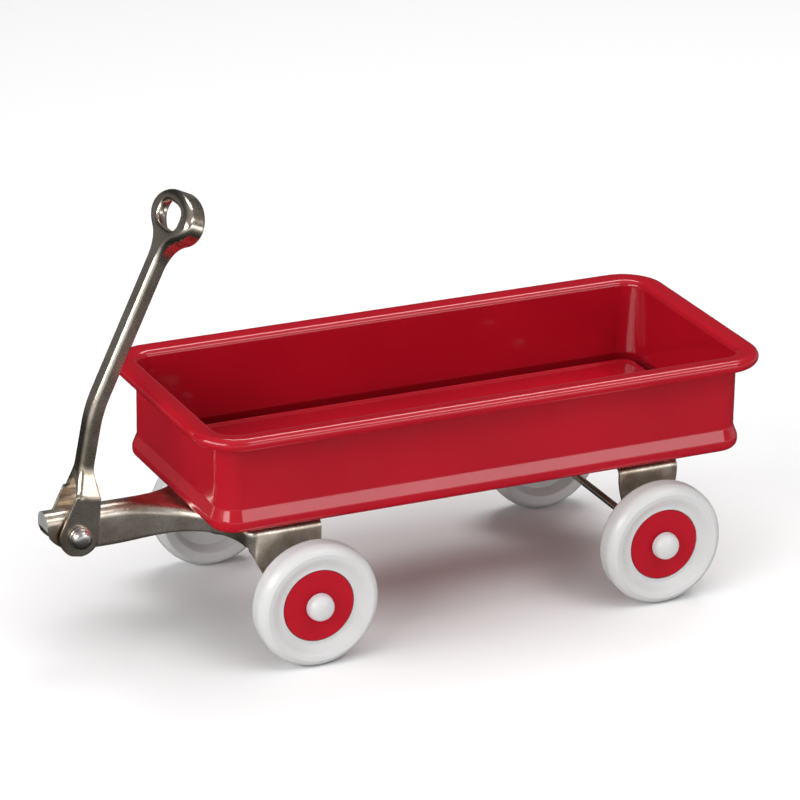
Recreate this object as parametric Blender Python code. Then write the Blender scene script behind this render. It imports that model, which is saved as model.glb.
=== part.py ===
"""A toy-sized pressed-steel pull wagon: tray, undercarriage, tongue, handle and four wheels.

Metres, +Z up. X is the width, and the handle end faces -Y. The sizes below are in
millimetres, with y measured from the middle of the tray. At the end everything moves
along Y, so that the origin is on the ground under the middle of the whole object.
"""

import math

import bmesh
import bpy
from mathutils import Matrix, Vector

MM = 0.001

# Tray: outer size of the rolled rim, then the drawn body below it.
TRAY_LENGTH = 320.0
TRAY_WIDTH = 146.8
RIM_CORNER_RADIUS = 23.3
TRAY_SHEET = 0.9
ROLL_RADIUS = 3.5
ROLL_CENTRE_Z = 126.2
FLANGE_SLOPE = 6.0
WALL_INSET = 11.7
WALL_TOP_BEND = 3.0
BEAD_INSET = 9.3
BEAD_TOP_Z = 87.6
BEAD_FULL_Z = 81.2
BEAD_RADIUS = 4.3
TRAY_BOTTOM_Z = 75.0
PANEL_INSET = 16.4
PANEL_TOP_Z = 84.0
PANEL_BEND = 1.8
TRAY_CORNER_STEPS = 5

# Wheels and axles.
WHEEL_RADIUS = 33.4
WHEEL_WIDTH = 15.0
WHEEL_MID_X = 69.2
FRONT_AXLE_Y = -100.0
REAR_AXLE_Y = 98.0
AXLE_RADIUS = 2.0
AXLE_HALF_LENGTH = 79.0
BORE_GAP = 0.35
PART_GAP = 0.3
DISC_RADIUS = 19.2
DISC_FACE_X = 74.0
CAP_RADIUS = 7.3
CAP_HEIGHT = 7.0
WHEEL_SEGMENTS = 32
SMALL_SEGMENTS = 16

# Undercarriage.
SHEET = 1.5
LEG_X = 54.0
WEB_TOP_Z = 71.5
REAR_BRACKET_WIDTH = 34.0
REAR_SADDLE_X = 34.0
REAR_RIVET_X = 20.0
TURNTABLE_RADIUS = 28.0
TURNTABLE_RIVET_X = 23.5
KINGPIN_RADIUS = 4.0
RIVET_RADIUS = 2.2

# Tongue and bolster, one pressing.
TONGUE_HALF_WIDTH = 7.0
NOSE_Y = -220.5
FLARE_START_Y = -184.0
BOLSTER_FRONT_Y = -130.5
BOLSTER_REAR_Y = -90.0
BOLSTER_CORNER = 5.5
CROWN_TOP_Z = 75.7
CROWN_RADIUS = 5.6
BOLSTER_BEND = 4.0

# Handle: it turns on a pin through the tongue.
PIN_Y = -204.3
PIN_Z = 63.3
PIN_RADIUS = 2.3
HANDLE_BEND_Y = -192.2
HANDLE_BEND_Z = 128.0
HANDLE_LOOP_Y = -147.4
HANDLE_LOOP_Z = 224.3
HANDLE_SHEET = 1.3
SHAFT_HALF_WIDTH = 5.25
SHAFT_FRONT = 4.0
SHAFT_BACK = 3.3
SHAFT_BEND = 2.6
EAR_HALF_WIDTH = 10.0
EAR_RADIUS = 10.7
EAR_TOP = 22.8
ARCH_RISE = 6.2
FLARE_TOP = 37.0
NECK_START = 146.0
NECK_DIP = 3.6
LOOP_HALF_WIDTH = 22.5
LOOP_HALF_HEIGHT = 13.0
LOOP_DEPTH = 10.0
HOLE_HALF_WIDTH = 12.3
HOLE_HALF_HEIGHT = 6.6
HOLE_FLANGE = 3.4

RED = (0.45, 0.009, 0.018, 1.0)
WHITE = (0.82, 0.82, 0.81, 1.0)
NICKEL = (0.55, 0.52, 0.47, 1.0)
STEEL = (0.62, 0.62, 0.61, 1.0)
NYLON = (0.08, 0.08, 0.08, 1.0)


def clear_scene():
    for old in list(bpy.data.objects):
        bpy.data.objects.remove(old, do_unlink=True)


def make_material(name, colour, roughness, metallic):
    material = bpy.data.materials.new(name)
    material.use_nodes = True
    shader = material.node_tree.nodes["Principled BSDF"]
    shader.inputs["Base Color"].default_value = colour
    shader.inputs["Roughness"].default_value = roughness
    shader.inputs["Metallic"].default_value = metallic
    return material


def finish_mesh(name, mesh_data, material, sharp_angle=40):
    """Turns a bmesh in millimetres into a named object in metres."""
    bmesh.ops.recalc_face_normals(mesh_data, faces=mesh_data.faces)
    bmesh.ops.scale(mesh_data, vec=(MM, MM, MM), verts=mesh_data.verts)
    mesh = bpy.data.meshes.new(name)
    mesh_data.to_mesh(mesh)
    mesh_data.free()
    mesh.shade_smooth()
    mesh.set_sharp_from_angle(angle=math.radians(sharp_angle))
    item = bpy.data.objects.new(name, mesh)
    bpy.context.scene.collection.objects.link(item)
    item.data.materials.append(material)
    return item


def set_origin(item, point):
    """Moves an object's origin to a point in millimetres and leaves its shape where it is."""
    origin = Vector(point) * MM
    item.data.transform(Matrix.Translation(-origin))
    item.location = origin


def arc(centre, radius, start, end, steps):
    """Points on an arc in a plane, with angles in degrees."""
    points = []
    for i in range(steps + 1):
        angle = math.radians(start + (end - start) * i / steps)
        points.append((centre[0] + radius * math.cos(angle), centre[1] + radius * math.sin(angle)))
    return points


def smooth_step(value):
    value = min(max(value, 0.0), 1.0)
    return value * value * (3 - 2 * value)


def blend(start, end, share):
    return start + (end - start) * share


def turned(name, profile, material, axis, centre, segments=SMALL_SEGMENTS):
    """A solid of revolution from a closed outline of (radius, distance along the axis)."""
    mesh_data = bmesh.new()
    rings = []
    for radius, along in profile:
        ring = []
        count = segments if radius > 1e-6 else 1
        for i in range(count):
            angle = 2 * math.pi * i / segments
            across = (radius * math.cos(angle), radius * math.sin(angle))
            if axis == "X":
                place = (along, across[0], across[1])
            else:
                place = (across[0], across[1], along)
            ring.append(mesh_data.verts.new(Vector(place) + Vector(centre)))
        rings.append(ring)
    for first, second in zip(rings, rings[1:] + rings[:1]):
        for i in range(segments):
            j = (i + 1) % segments
            corners = [first[i % len(first)], first[j % len(first)]]
            corners += [second[j % len(second)], second[i % len(second)]]
            corners = list(dict.fromkeys(corners))
            if len(corners) > 2:
                mesh_data.faces.new(corners)
    return finish_mesh(name, mesh_data, material)


def cut(target, name, radius, start, end):
    """Cuts a round hole between two points in millimetres."""
    first = Vector(start)
    last = Vector(end)
    mesh_data = bmesh.new()
    bmesh.ops.create_cone(
        mesh_data,
        cap_ends=True,
        segments=SMALL_SEGMENTS,
        radius1=radius,
        radius2=radius,
        depth=(last - first).length,
        matrix=Matrix.Translation((first + last) / 2)
        @ (last - first).to_track_quat("Z", "Y").to_matrix().to_4x4(),
    )
    cutter = finish_mesh(name, mesh_data, target.data.materials[0])
    cutter.hide_render = True
    cutter.display_type = "WIRE"
    modifier = target.modifiers.new(name, "BOOLEAN")
    modifier.operation = "DIFFERENCE"
    modifier.object = cutter


def add_thickness(item, thickness):
    """Gives an open sheet its thickness, measured inwards from the modelled face."""
    modifier = item.modifiers.new("thickness", "SOLIDIFY")
    modifier.thickness = thickness * MM
    modifier.offset = -1.0
    modifier.use_even_offset = True


def rounded_rectangle(inset, steps):
    """Plan points of the tray at one distance in from the outside of the rim."""
    half_x = TRAY_WIDTH / 2 - inset
    half_y = TRAY_LENGTH / 2 - inset
    radius = max(RIM_CORNER_RADIUS - inset, 2.0)
    points = []
    for quarter, (side_x, side_y) in enumerate(((1, 1), (-1, 1), (-1, -1), (1, -1))):
        centre = (side_x * (half_x - radius), side_y * (half_y - radius))
        points += arc(centre, radius, 90 * quarter, 90 * quarter + 90, steps)
    return points


def tray_section():
    """Middle line of the sheet as (inset, z), from the end of the rolled rim to the floor panel."""
    middle = ROLL_RADIUS - TRAY_SHEET / 2
    slope = math.radians(FLANGE_SLOPE)
    line = arc((ROLL_RADIUS, ROLL_CENTRE_Z), middle, -30, FLANGE_SLOPE - 270, 9)
    bend = WALL_TOP_BEND
    wall = WALL_INSET + TRAY_SHEET / 2
    start = line[-1]
    bend_centre_inset = wall - bend
    bend_start_inset = bend_centre_inset + bend * math.sin(slope)
    drop = (bend_start_inset - start[0]) * math.tan(slope)
    bend_centre_z = start[1] - drop - bend * math.cos(slope)
    line += arc((bend_centre_inset, bend_centre_z), bend, 90 - FLANGE_SLOPE, 0, 4)
    bead = BEAD_INSET + TRAY_SHEET / 2
    line.append((wall, BEAD_TOP_Z))
    line.append((blend(wall, bead, 0.5), blend(BEAD_TOP_Z, BEAD_FULL_Z, 0.5)))
    line.append((bead, BEAD_FULL_Z))
    foot = BEAD_RADIUS - TRAY_SHEET / 2
    foot_z = TRAY_BOTTOM_Z + BEAD_RADIUS
    line += arc((bead + foot, foot_z), foot, 180, 270, 4)
    panel_z = PANEL_TOP_Z - TRAY_SHEET / 2
    rise = PANEL_INSET - PANEL_BEND
    line.append((rise - 1.2, TRAY_BOTTOM_Z + TRAY_SHEET / 2))
    line.append((rise, TRAY_BOTTOM_Z + TRAY_SHEET / 2 + 1.2))
    line += arc((rise + PANEL_BEND, panel_z - PANEL_BEND), PANEL_BEND, 180, 90, 3)
    return line


def offset_line(line, distance):
    """The line moved sideways by a distance, to the left of its direction."""
    moved = []
    for i, point in enumerate(line):
        before = Vector(line[max(i - 1, 0)])
        after = Vector(line[min(i + 1, len(line) - 1)])
        here = Vector(point)
        into = here - before if i else after - here
        out = after - here if i < len(line) - 1 else into
        into.normalize()
        out.normalize()
        along = (into + out).normalized()
        normal = Vector((-along.y, along.x))
        shrink = max(along.dot(into), 0.5)
        moved.append(here + normal * distance / shrink)
    return moved


def make_tray(material):
    """One drawn sheet: rolled rim, wall, bottom bead, groove and raised floor panel."""
    section = tray_section()
    skins = [offset_line(section, TRAY_SHEET / 2), offset_line(section, -TRAY_SHEET / 2)]
    mesh_data = bmesh.new()
    skin_rings = []
    for skin in skins:
        rings = []
        for inset, z in skin:
            plan = rounded_rectangle(inset, TRAY_CORNER_STEPS)
            rings.append([mesh_data.verts.new((x, y, z)) for x, y in plan])
        skin_rings.append(rings)
        for upper, lower in zip(rings, rings[1:]):
            for i, corner in enumerate(upper):
                j = (i + 1) % len(upper)
                mesh_data.faces.new((corner, upper[j], lower[j], lower[i]))
        mesh_data.faces.new(rings[-1])
    first, second = skin_rings[0][0], skin_rings[1][0]
    for i, corner in enumerate(first):
        j = (i + 1) % len(first)
        mesh_data.faces.new((corner, first[j], second[j], second[i]))
    tray = finish_mesh("tray", mesh_data, material)
    above = PANEL_TOP_Z + 5
    below = PANEL_TOP_Z - 5
    for side in (-1, 1):
        label = "left" if side < 0 else "right"
        for end, x, y in (
            ("rear", REAR_RIVET_X, REAR_AXLE_Y),
            ("turntable", TURNTABLE_RIVET_X, FRONT_AXLE_Y),
        ):
            name = f"tray_hole_{end}_{label}"
            cut(tray, name, RIVET_RADIUS + PART_GAP, (side * x, y, below), (side * x, y, above))
    centre = (0, FRONT_AXLE_Y)
    cut(tray, "tray_hole_kingpin", KINGPIN_RADIUS + PART_GAP, (*centre, below), (*centre, above))
    return tray


def wheel_profile():
    """Closed outline as (radius, distance from the middle plane), outwards positive."""
    half = WHEEL_WIDTH / 2
    bore = AXLE_RADIUS + BORE_GAP
    outline = [(bore, -12.9), (6.5, -12.9), (7.4, -1.2), (22.5, -1.2), (25.6, -half)]
    outline += arc((26.9, -2.0), 6.5, -56, 0, 3)
    outline += arc((26.9, 2.0), 6.5, 0, 60, 3)
    outline += [(27.0, half), (23.0, 6.3), (DISC_RADIUS + PART_GAP, 4.2)]
    outline += [(DISC_RADIUS + PART_GAP, 2.7), (bore, 2.7)]
    return outline


def make_wheel(end, label, side, centre_y, materials):
    """The moulded wheel and the red disc that turn together, at one end of an axle."""
    centre = (0, centre_y, WHEEL_RADIUS)
    profile = [(r, side * (WHEEL_MID_X + x)) for r, x in wheel_profile()]
    name = f"{end}_{label}_wheel"
    wheel = turned(name, profile, materials["white"], "X", centre, WHEEL_SEGMENTS)
    bore = AXLE_RADIUS + BORE_GAP
    back = WHEEL_MID_X + 2.7 + PART_GAP
    face = DISC_FACE_X
    outline = [(bore, back), (DISC_RADIUS, back), (DISC_RADIUS, face - 0.5)]
    outline += [(DISC_RADIUS - 0.6, face), (CAP_RADIUS, face), (bore, face)]
    profile = [(r, side * x) for r, x in outline]
    disc = turned(f"{end}_{label}_hub_disc", profile, materials["red"], "X", centre, WHEEL_SEGMENTS)
    for item in (wheel, disc):
        set_origin(item, (side * WHEEL_MID_X, centre_y, WHEEL_RADIUS))


def make_axle_end(end, label, side, centre_y, materials):
    """The thrust washer inside the wheel and the push cap that holds it on the axle."""
    centre = (0, centre_y, WHEEL_RADIUS)
    bore = AXLE_RADIUS + BORE_GAP
    inner = LEG_X + PART_GAP
    outer = WHEEL_MID_X - 12.9 - PART_GAP
    outline = [(bore, inner), (6.0, inner), (6.0, outer), (bore, outer)]
    profile = [(r, side * x) for r, x in outline]
    turned(f"{end}_{label}_thrust_washer", profile, materials["steel"], "X", centre)
    base = DISC_FACE_X + PART_GAP
    top = base + CAP_HEIGHT
    bore_end = AXLE_HALF_LENGTH + PART_GAP
    outline = [(bore, base), (CAP_RADIUS - 0.4, base), (CAP_RADIUS, base + 0.5)]
    outline += [(CAP_RADIUS, base + 2.2)]
    for step in range(1, 5):
        angle = math.radians(90 * step / 5)
        radius = CAP_RADIUS * math.cos(angle)
        outline.append((radius, base + 2.2 + (top - base - 2.2) * math.sin(angle)))
    outline += [(0.0, top), (0.0, bore_end), (bore, bore_end)]
    profile = [(r, side * x) for r, x in outline]
    turned(f"{end}_{label}_push_cap", profile, materials["white"], "X", centre)


def make_axle(end, centre_y, material):
    half = AXLE_HALF_LENGTH
    outline = [(0.0, -half), (AXLE_RADIUS, -half), (AXLE_RADIUS, half), (0.0, half)]
    turned(f"{end}_axle", outline, material, "X", (0, centre_y, WHEEL_RADIUS))


def make_rivet(name, material, centre, shank, head, bottom_z, top_z):
    """A rivet along Z with a domed head at each end; the z values are where the heads start."""
    outline = [(0.0, bottom_z - 0.45 * head), (0.7 * head, bottom_z - 0.3 * head), (head, bottom_z)]
    outline += [(shank, bottom_z), (shank, top_z), (head, top_z)]
    outline += [(0.87 * head, top_z + 0.28 * head), (0.5 * head, top_z + 0.46 * head)]
    outline += [(0.0, top_z + 0.52 * head)]
    turned(name, outline, material, "Z", (centre[0], centre[1], 0))


def make_rear_bracket(material):
    """A bent strap: two legs with rounded feet, shoulders, and a raised saddle under the floor."""
    line = [(LEG_X, WHEEL_RADIUS - 11)]
    line += [(LEG_X, WHEEL_RADIUS - 8), (LEG_X, WHEEL_RADIUS), (LEG_X, 50.0), (LEG_X, 62.0)]
    line += arc((LEG_X - 4, WEB_TOP_Z - 4), 4, 0, 90, 4)
    line += [(REAR_SADDLE_X + 11, WEB_TOP_Z)]
    saddle_z = PANEL_TOP_Z - TRAY_SHEET - PART_GAP
    line += [(REAR_SADDLE_X, saddle_z)]
    line += [(-x, z) for x, z in reversed(line)]
    mesh_data = bmesh.new()
    rows = []
    for x, z in line:
        share = smooth_step((z - WHEEL_RADIUS) / (WEB_TOP_Z - 6 - WHEEL_RADIUS))
        half = blend(11.0, REAR_BRACKET_WIDTH / 2, share)
        if z < WHEEL_RADIUS:
            half = math.sqrt(max(11.0**2 - (WHEEL_RADIUS - z) ** 2, 16.0))
        row = []
        for across in (-1.0, -0.5, 0.0, 0.5, 1.0):
            row.append(mesh_data.verts.new((x, REAR_AXLE_Y + half * across, z)))
        rows.append(row)
    for first, second in zip(rows, rows[1:]):
        for i in range(len(first) - 1):
            mesh_data.faces.new((first[i], first[i + 1], second[i + 1], second[i]))
    bracket = finish_mesh("rear_bracket", mesh_data, material)
    add_thickness(bracket, SHEET)
    hole = AXLE_RADIUS + BORE_GAP
    far = LEG_X + 5
    place = (REAR_AXLE_Y, WHEEL_RADIUS)
    cut(bracket, "rear_bracket_axle_hole", hole, (-far, *place), (far, *place))
    for side in (-1, 1):
        label = "left" if side < 0 else "right"
        x = side * REAR_RIVET_X
        below = (x, REAR_AXLE_Y, saddle_z - 6)
        above = (x, REAR_AXLE_Y, saddle_z + 6)
        cut(bracket, f"rear_bracket_hole_{label}", RIVET_RADIUS + PART_GAP, below, above)
    return bracket


def tongue_path():
    """Right-hand outline of the pressing in plan, from the nose back to the rear edge."""
    path = []
    for y in (NOSE_Y, -216.5, -212.0, PIN_Y - 4, PIN_Y, PIN_Y + 5, -192.0):
        path.append((TONGUE_HALF_WIDTH, y))
    wide = LEG_X - BOLSTER_CORNER
    sweep_x = wide - TONGUE_HALF_WIDTH
    sweep_y = BOLSTER_FRONT_Y - FLARE_START_Y
    for step in range(11):
        angle = math.radians(90 * step / 10)
        x = wide - sweep_x * math.cos(angle)
        path.append((x, FLARE_START_Y + sweep_y * math.sin(angle)))
    corner = (wide, BOLSTER_FRONT_Y + BOLSTER_CORNER)
    path += arc(corner, BOLSTER_CORNER, -60, 0, 2)
    for y in (-123.0, -118.0, -113.0, -107.5, -100.0, -93.0, BOLSTER_REAR_Y):
        path.append((LEG_X, y))
    return path


def skirt_bottom(x, y):
    """Height of the turned-down edge: deep round the pin, shallow on the flare, long at the legs."""
    if y < PIN_Y:
        share = math.sqrt(min(max((y - NOSE_Y) / (PIN_Y - 4 - NOSE_Y), 0.0), 1.0))
        return blend(67.4, 55.2, share)
    if x < LEG_X - 2:
        return blend(55.2, 61.5, smooth_step((y + 185) / 50))
    if y < -112.0:
        return max(62.0 - (y - BOLSTER_FRONT_Y) * 1.83, 28.0)
    if y < -92.0:
        return 24.0
    return 28.0


def make_tongue_bolster(material):
    """The crowned tongue flares into a flat bolster with a leg down to the axle on each side."""
    path = tongue_path()
    mesh_data = bmesh.new()
    columns = []
    for i, (x, y) in enumerate(path):
        before = Vector(path[max(i - 1, 0)])
        after = Vector(path[min(i + 1, len(path) - 1)])
        along = (after - before).normalized()
        inward = Vector((-along.y, along.x))
        share = smooth_step((y - FLARE_START_Y) / (BOLSTER_FRONT_Y - 4 - FLARE_START_Y))
        bend = blend(CROWN_RADIUS, BOLSTER_BEND, share)
        top = blend(CROWN_TOP_Z, WEB_TOP_Z, share)
        bottom = skirt_bottom(x, y)
        column = []
        for level in range(4):
            column.append((x, y, blend(bottom, top - bend, level / 3)))
        for step in range(1, 5):
            angle = math.radians(90 * step / 4)
            back = bend * (1 - math.cos(angle))
            height = top - bend + bend * math.sin(angle)
            column.append((x + inward.x * back, y + inward.y * back, height))
        columns.append(column)
    rows = []
    across = 6
    for column in columns:
        right = [mesh_data.verts.new(point) for point in column]
        left = [mesh_data.verts.new((-point[0], point[1], point[2])) for point in column]
        x, y, z = column[-1]
        web = []
        for k in range(1, across):
            web.append(mesh_data.verts.new((blend(-x, x, k / across), y, z)))
        rows.append(left + web + right[::-1])
    for first, second in zip(rows, rows[1:]):
        for i in range(len(first) - 1):
            mesh_data.faces.new((first[i], first[i + 1], second[i + 1], second[i]))
    nose = rows[0]
    for level in range(6):
        mesh_data.faces.new((nose[level], nose[level + 1], nose[-level - 2], nose[-level - 1]))
    mesh_data.faces.new(nose[6:-6])
    pressing = finish_mesh("tongue_bolster", mesh_data, material)
    add_thickness(pressing, SHEET)
    far = LEG_X + 5
    axle = (FRONT_AXLE_Y, WHEEL_RADIUS)
    cut(pressing, "bolster_axle_hole", AXLE_RADIUS + BORE_GAP, (-far, *axle), (far, *axle))
    pin = (PIN_Y, PIN_Z)
    cut(pressing, "tongue_pin_hole", PIN_RADIUS + PART_GAP, (-far, *pin), (far, *pin))
    centre = (0, FRONT_AXLE_Y)
    hole = KINGPIN_RADIUS + PART_GAP
    cut(pressing, "bolster_kingpin_hole", hole, (*centre, WEB_TOP_Z - 5), (*centre, WEB_TOP_Z + 5))
    set_origin(pressing, (0, FRONT_AXLE_Y, WEB_TOP_Z))
    return pressing


def make_turntable(materials):
    """The dished plate under the floor, the wear washer below it, and the kingpin through all."""
    top = PANEL_TOP_Z - TRAY_SHEET - PART_GAP
    bottom = WEB_TOP_Z + 2.0
    hole = KINGPIN_RADIUS + PART_GAP
    outline = [(TURNTABLE_RADIUS, top), (TURNTABLE_RADIUS, top - 1.2), (18.5, top - 1.2)]
    outline += [(14.5, bottom), (hole, bottom), (hole, bottom + 1.2), (13.5, bottom + 1.2)]
    outline += [(17.5, top)]
    centre = (0, FRONT_AXLE_Y, 0)
    plate = turned("turntable_plate", outline, materials["nickel"], "Z", centre, WHEEL_SEGMENTS)
    for side in (-1, 1):
        label = "left" if side < 0 else "right"
        place = (side * TURNTABLE_RIVET_X, FRONT_AXLE_Y)
        hole_name = f"turntable_hole_{label}"
        cut(plate, hole_name, RIVET_RADIUS + PART_GAP, (*place, top - 5), (*place, top + 5))
        name = f"turntable_rivet_{label}"
        low = top - 1.2 - PART_GAP
        high = PANEL_TOP_Z + PART_GAP
        make_rivet(name, materials["steel"], place, RIVET_RADIUS, 4.2, low, high)
    low = WEB_TOP_Z + PART_GAP
    high = bottom - PART_GAP
    outline = [(hole, low), (12.5, low), (12.5, high), (hole, high)]
    turned("swivel_washer", outline, materials["nylon"], "Z", centre)
    high = WEB_TOP_Z - SHEET - PART_GAP
    low = high - 1.0
    outline = [(hole, low), (8.5, low), (8.5, high), (hole, high)]
    turned("kingpin_washer", outline, materials["steel"], "Z", centre)
    pin_top = PANEL_TOP_Z + PART_GAP
    pin_low = low - PART_GAP
    place = (0, FRONT_AXLE_Y)
    make_rivet("kingpin", materials["steel"], place, KINGPIN_RADIUS, 7.5, pin_low, pin_top)


def handle_frame(along):
    """Point, direction up the handle and direction to its back, at a distance from the pin."""
    pin = Vector((0, PIN_Y, PIN_Z))
    bend = Vector((0, HANDLE_BEND_Y, HANDLE_BEND_Z))
    loop = Vector((0, HANDLE_LOOP_Y, HANDLE_LOOP_Z))
    lower = (bend - pin).normalized()
    upper = (loop - bend).normalized()
    length = (bend - pin).length
    reach = 9.0
    share = min(max((along - length + reach) / (2 * reach), 0.0), 1.0)
    if share <= 0:
        point = pin + lower * along
        up = lower
    elif share >= 1:
        point = bend + upper * (along - length)
        up = upper
    else:
        start = bend - lower * reach
        end = bend + upper * reach
        point = start * (1 - share) ** 2 + bend * (2 * share * (1 - share)) + end * share**2
        up = (lower * (1 - share) + upper * share).normalized()
    back = Vector((0, up.z, -up.y))
    return point, up, back


def loop_centre_along():
    pin = Vector((0, PIN_Y, PIN_Z))
    bend = Vector((0, HANDLE_BEND_Y, HANDLE_BEND_Z))
    loop = Vector((0, HANDLE_LOOP_Y, HANDLE_LOOP_Z))
    return (bend - pin).length + (loop - bend).length


def ear_edges(along):
    """Front and back edge of an ear, as distances from the handle's middle line."""
    if along < 3.0:
        half = math.sqrt(max(EAR_RADIUS**2 - along**2, 0.0))
        return -half, half
    share = (along - 3.0) / (EAR_TOP - 3.0)
    start = math.sqrt(EAR_RADIUS**2 - 9.0)
    return blend(-start, -4.9, min(share, 1.0)), blend(start, 7.9, min(share, 1.0))


def handle_columns():
    """Right-hand side of the handle: (outline x, distance along, front, back, bend, inward)."""
    columns = []
    for along in (-10.4, -9.4, -7.6, -5.0, -1.5, 3.0, 9.0, 16.0):
        front, back = ear_edges(along)
        columns.append((EAR_HALF_WIDTH, along, front, back, 0.0, (-1.0, 0.0)))
    for along in (EAR_TOP, 27.5, 31.0, 34.0, FLARE_TOP, 42.0, 50.0, 56.0, 60.0, 64.0, 68.0, 72.0):
        share = smooth_step((along - EAR_TOP + 4) / (FLARE_TOP - EAR_TOP + 4))
        half = blend(EAR_HALF_WIDTH, SHAFT_HALF_WIDTH, share)
        front = blend(-4.9, -SHAFT_FRONT, share)
        back = blend(7.9, SHAFT_BACK, share)
        columns.append((half, along, front, back, SHAFT_BEND, (-1.0, 0.0)))
    for along in (76.0, 80.0, 100.0, 124.0, NECK_START):
        columns.append((SHAFT_HALF_WIDTH, along, -SHAFT_FRONT, SHAFT_BACK, SHAFT_BEND, (-1.0, 0.0)))
    centre = loop_centre_along()
    join = math.radians(-50)
    end = Vector((LOOP_HALF_WIDTH * math.cos(join), centre + LOOP_HALF_HEIGHT * math.sin(join)))
    leave = Vector((-LOOP_HALF_WIDTH * math.sin(join), LOOP_HALF_HEIGHT * math.cos(join))).normalized()
    start = Vector((SHAFT_HALF_WIDTH, NECK_START))
    pull = 8.0
    loop_back = LOOP_DEPTH - SHAFT_FRONT
    points = []
    for step in range(1, 6):
        t = step / 6
        first = start + Vector((0, pull))
        second = end - leave * pull
        point = start * (1 - t) ** 3 + first * (3 * t * (1 - t) ** 2)
        point += second * (3 * t**2 * (1 - t)) + end * t**3
        points.append((point, t))
    for step in range(10):
        angle = join + (math.pi / 2 - join) * step / 9
        place = Vector((LOOP_HALF_WIDTH * math.cos(angle), centre + LOOP_HALF_HEIGHT * math.sin(angle)))
        points.append((place, 1.0))
    mirrored = Vector((-points[-2][0].x, points[-2][0].y))
    line = [start] + [point for point, _ in points] + [mirrored]
    for i, (point, share) in enumerate(points):
        before = line[i]
        after = line[i + 2]
        direction = (after - before).normalized()
        inward = (-direction.y, direction.x)
        back = blend(SHAFT_BACK, loop_back, share)
        bend = blend(SHAFT_BEND, 3.2, share)
        columns.append((point.x, point.y, -SHAFT_FRONT, back, bend, inward))
    return columns


def handle_point(x, along, depth):
    point, _, back = handle_frame(along)
    place = point + back * depth
    return (x, place.y, place.z)


def make_handle(material):
    """A channel pressing: two ears on the pin, a crowned shaft, and a ring with a finger hole."""
    mesh_data = bmesh.new()
    columns = handle_columns()
    first_web = 8
    first_ring = len(columns) - 10
    sides = {}
    for side in (1, -1):
        made = []
        for x, along, front, back, bend, inward in columns:
            column = []
            for level in range(4):
                column.append((side * x, along, blend(back, front + bend, level / 3)))
            for step in range(1, 4):
                angle = math.radians(90 * step / 3)
                move = bend * (1 - math.cos(angle))
                place_x = side * (x + inward[0] * move)
                column.append((place_x, along + inward[1] * move, front + bend - bend * math.sin(angle)))
            if bend == 0.0:
                column = []
                for level in range(7):
                    column.append((side * x, along, blend(back, front, level / 6)))
            made.append(column)
        sides[side] = made
    vertex_of = {}

    def vertex(point):
        key = tuple(round(value, 4) for value in point)
        key = tuple(0.0 if value == 0 else value for value in key)
        if key not in vertex_of:
            vertex_of[key] = mesh_data.verts.new(handle_point(*point))
        return vertex_of[key]

    def face(points):
        corners = list(dict.fromkeys(vertex(point) for point in points))
        if len(corners) > 2 and not mesh_data.faces.get(corners):
            mesh_data.faces.new(corners)

    for side in (1, -1):
        made = sides[side]
        for near, far in zip(made, made[1:]):
            for i in range(len(near) - 1):
                face((near[i], near[i + 1], far[i + 1], far[i]))
    across = 8
    web_rows = []
    for index in range(first_web, first_ring + 1):
        right = sides[1][index][-1]
        left = sides[-1][index][-1]
        arch = ARCH_RISE * (1 - min((index - first_web) / 3, 1.0))
        dip = NECK_DIP * max(1 - (first_ring - index) / 6, 0.0)
        row = []
        for k in range(across + 1):
            x = blend(left[0], right[0], k / across)
            bow = 1 - (2 * k / across - 1) ** 2
            row.append((x, right[1] + (arch - dip) * bow, right[2]))
        web_rows.append(row)
    for near, far in zip(web_rows, web_rows[1:]):
        for k in range(across):
            face((near[k], near[k + 1], far[k + 1], far[k]))
    centre = loop_centre_along()
    front = -SHAFT_FRONT
    ring_outer = web_rows[-1][:-1]
    ring_outer += [column[-1] for column in sides[1][first_ring:]]
    ring_outer += [column[-1] for column in sides[-1][first_ring + 1 : -1][::-1]]
    count = len(ring_outer)
    lip = 1.6
    hole_rings = []
    for grow, depth in ((lip, 0.0), (lip * 0.3, lip * 0.3), (0.0, lip), (0.0, HOLE_FLANGE)):
        ring = []
        for point in ring_outer:
            angle = math.atan2((point[1] - centre) / LOOP_HALF_HEIGHT, point[0] / LOOP_HALF_WIDTH)
            power = 2 / 2.8
            cosine, sine = math.cos(angle), math.sin(angle)
            x = (HOLE_HALF_WIDTH + grow) * math.copysign(abs(cosine) ** power, cosine)
            up = (HOLE_HALF_HEIGHT + grow) * math.copysign(abs(sine) ** power, sine)
            ring.append((x, centre + up, front + depth))
        hole_rings.append(ring)
    for outer, inner in zip([ring_outer] + hole_rings, hole_rings):
        for i in range(count):
            j = (i + 1) % count
            face((outer[i], outer[j], inner[j], inner[i]))
    handle = finish_mesh("handle", mesh_data, material)
    add_thickness(handle, HANDLE_SHEET)
    pin = (PIN_Y, PIN_Z)
    far = EAR_HALF_WIDTH + 5
    cut(handle, "handle_pin_hole", PIN_RADIUS + PART_GAP, (-far, *pin), (far, *pin))
    set_origin(handle, (0, PIN_Y, PIN_Z))
    return handle


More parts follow.
